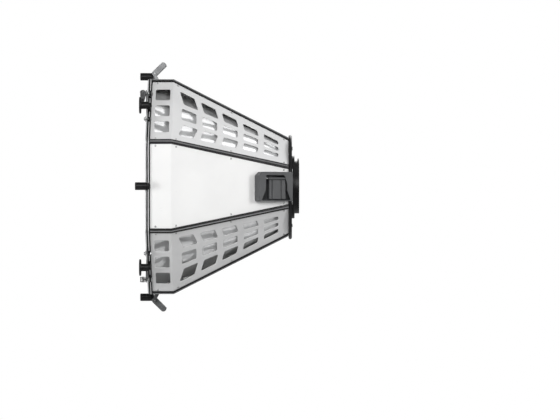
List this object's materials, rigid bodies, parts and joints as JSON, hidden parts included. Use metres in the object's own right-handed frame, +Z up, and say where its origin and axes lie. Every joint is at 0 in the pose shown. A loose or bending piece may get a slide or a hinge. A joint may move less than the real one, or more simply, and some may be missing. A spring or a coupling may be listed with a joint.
{
  "type": "octagonal beam hood",
  "caption": "Octagonal tapered beam hood with slotted side panels around a bright reflector, a front lens in a clamped rim, accessory posts and levers, and a rear bayonet ring.",
  "frame": {"origin": "centre of the mounting ring's rear seat face, on the optical axis", "axes": "+X along the optical axis towards the lamp (light leaves towards -X), +Z up, the side in view is -Y"},
  "size_m": [0.481, 0.6908, 0.7544],
  "materials": {
    "white_paint": "satin white powder coat",
    "black_metal": "satin black anodised or coated",
    "silver_metal": "brushed, slightly worn",
    "bright_aluminium": "bright anodised, nearly a mirror",
    "steel": "zinc plated",
    "grey_plastic": "fine textured moulding",
    "rubber": "matte",
    "lens_acrylic": "clear, stepped rings"
  },
  "bodies": {
    "hood": {"corner_profile_bottom_far": "black_metal", "corner_profile_bottom_near": "black_metal", "corner_profile_far_lower": "black_metal", "corner_profile_far_upper": "black_metal", "corner_profile_near_lower": "black_metal", "corner_profile_near_upper": "black_metal", "corner_profile_top_far": "black_metal", "corner_profile_top_near": "black_metal", "disc_post_lower_far": "black_metal", "disc_post_lower_near": "black_metal", "disc_post_upper_far": "black_metal", "disc_post_upper_near": "black_metal", "fresnel_lens": "lens_acrylic", "front_rim": "black_metal", "latch_base_bottom": "silver_metal", "latch_base_top": "silver_metal", "latch_housing_far": "grey_plastic", "latch_housing_near": "grey_plastic", "latch_pin_bottom": "steel", "latch_pin_top": "steel", "lens_gasket": "rubber", "lens_retainer": "silver_metal", "mount_ring": "black_metal", "paddle_pin_far": "steel", "paddle_pin_near": "steel", "panel_bottom": "white_paint", "panel_far": "white_paint", "panel_near": "white_paint", "panel_top": "white_paint", "post_bottom": "black_metal", "post_far": "black_metal", "post_near": "black_metal", "post_top": "black_metal", "rear_flange": "black_metal", "reflector": "bright_aluminium", "rim_bolt_lower_far": "steel", "rim_bolt_lower_near": "steel", "rim_bolt_upper_far": "steel", "rim_bolt_upper_near": "steel", "slotted_panel_lower_far": "white_paint", "slotted_panel_lower_near": "white_paint", "slotted_panel_upper_far": "white_paint", "slotted_panel_upper_near": "white_paint"},
    "clamp_lever_lower_far": {"clamp_lever_lower_far": "silver_metal"},
    "clamp_lever_lower_near": {"clamp_lever_lower_near": "silver_metal"},
    "clamp_lever_upper_far": {"clamp_lever_upper_far": "silver_metal"},
    "clamp_lever_upper_near": {"clamp_lever_upper_near": "silver_metal"},
    "clamp_lower_far": {"clamp_stud_lower_far": "steel", "clamp_toe_lower_far": "silver_metal"},
    "clamp_lower_near": {"clamp_stud_lower_near": "steel", "clamp_toe_lower_near": "silver_metal"},
    "clamp_upper_far": {"clamp_stud_upper_far": "steel", "clamp_toe_upper_far": "silver_metal"},
    "clamp_upper_near": {"clamp_stud_upper_near": "steel", "clamp_toe_upper_near": "silver_metal"},
    "latch_lever_bottom": {"latch_lever_bottom": "silver_metal"},
    "latch_lever_top": {"latch_lever_top": "silver_metal"},
    "release_paddle_far": {"release_paddle_far": "grey_plastic"},
    "release_paddle_near": {"release_paddle_near": "grey_plastic"}
  },
  "joints": [
    {"name": "latch_lever_top_pivot", "type": "hinge", "parent": "hood", "child": "latch_lever_top", "pos_m": [-0.4225, 0, 0.3435], "axis": [0, -1, 0], "range_deg": [-40, 30]},
    {"name": "latch_lever_bottom_pivot", "type": "hinge", "parent": "hood", "child": "latch_lever_bottom", "pos_m": [-0.4225, 0, -0.3435], "axis": [0, 1, 0], "range_deg": [-40, 30]},
    {"name": "clamp_upper_near_swivel", "type": "hinge", "parent": "hood", "child": "clamp_upper_near", "pos_m": [-0.43, -0.19375, 0.27577], "axis": [1, 0, 0], "range_deg": [-90, 90]},
    {"name": "clamp_upper_near_cam", "type": "hinge", "parent": "clamp_upper_near", "child": "clamp_lever_upper_near", "pos_m": [-0.4504, -0.19375, 0.27577], "axis": [0, 0.7071, -0.7071], "range_deg": [0, 90]},
    {"name": "clamp_lower_near_swivel", "type": "hinge", "parent": "hood", "child": "clamp_lower_near", "pos_m": [-0.43, -0.19375, -0.27577], "axis": [1, 0, 0], "range_deg": [-135, 45]},
    {"name": "clamp_lower_near_cam", "type": "hinge", "parent": "clamp_lower_near", "child": "clamp_lever_lower_near", "pos_m": [-0.4504, -0.19375, -0.27577], "axis": [0, 0, -1], "range_deg": [0, 90]},
    {"name": "clamp_lower_far_swivel", "type": "hinge", "parent": "hood", "child": "clamp_lower_far", "pos_m": [-0.43, 0.19375, -0.27577], "axis": [1, 0, 0], "range_deg": [-45, 135]},
    {"name": "clamp_lower_far_cam", "type": "hinge", "parent": "clamp_lower_far", "child": "clamp_lever_lower_far", "pos_m": [-0.4504, 0.19375, -0.27577], "axis": [0, 0, 1], "range_deg": [0, 90]},
    {"name": "clamp_upper_far_swivel", "type": "hinge", "parent": "hood", "child": "clamp_upper_far", "pos_m": [-0.43, 0.19375, 0.27577], "axis": [1, 0, 0], "range_deg": [-90, 90]},
    {"name": "clamp_upper_far_cam", "type": "hinge", "parent": "clamp_upper_far", "child": "clamp_lever_upper_far", "pos_m": [-0.4504, 0.19375, 0.27577], "axis": [0, 0.7071, 0.7071], "range_deg": [0, 90]},
    {"name": "paddle_near_hinge", "type": "hinge", "parent": "hood", "child": "release_paddle_near", "pos_m": [-0.05292, -0.18652, 0.024], "axis": [-0.8934, -0.4493, 0], "range_deg": [0, 25], "stiffness_Nm_per_rad": 0.8, "springref_deg": -8.59},
    {"name": "paddle_far_hinge", "type": "hinge", "parent": "hood", "child": "release_paddle_far", "pos_m": [-0.05292, 0.18652, 0.024], "axis": [0.8934, -0.4493, 0], "range_deg": [0, 25], "stiffness_Nm_per_rad": 0.8, "springref_deg": -8.59}
  ]
}
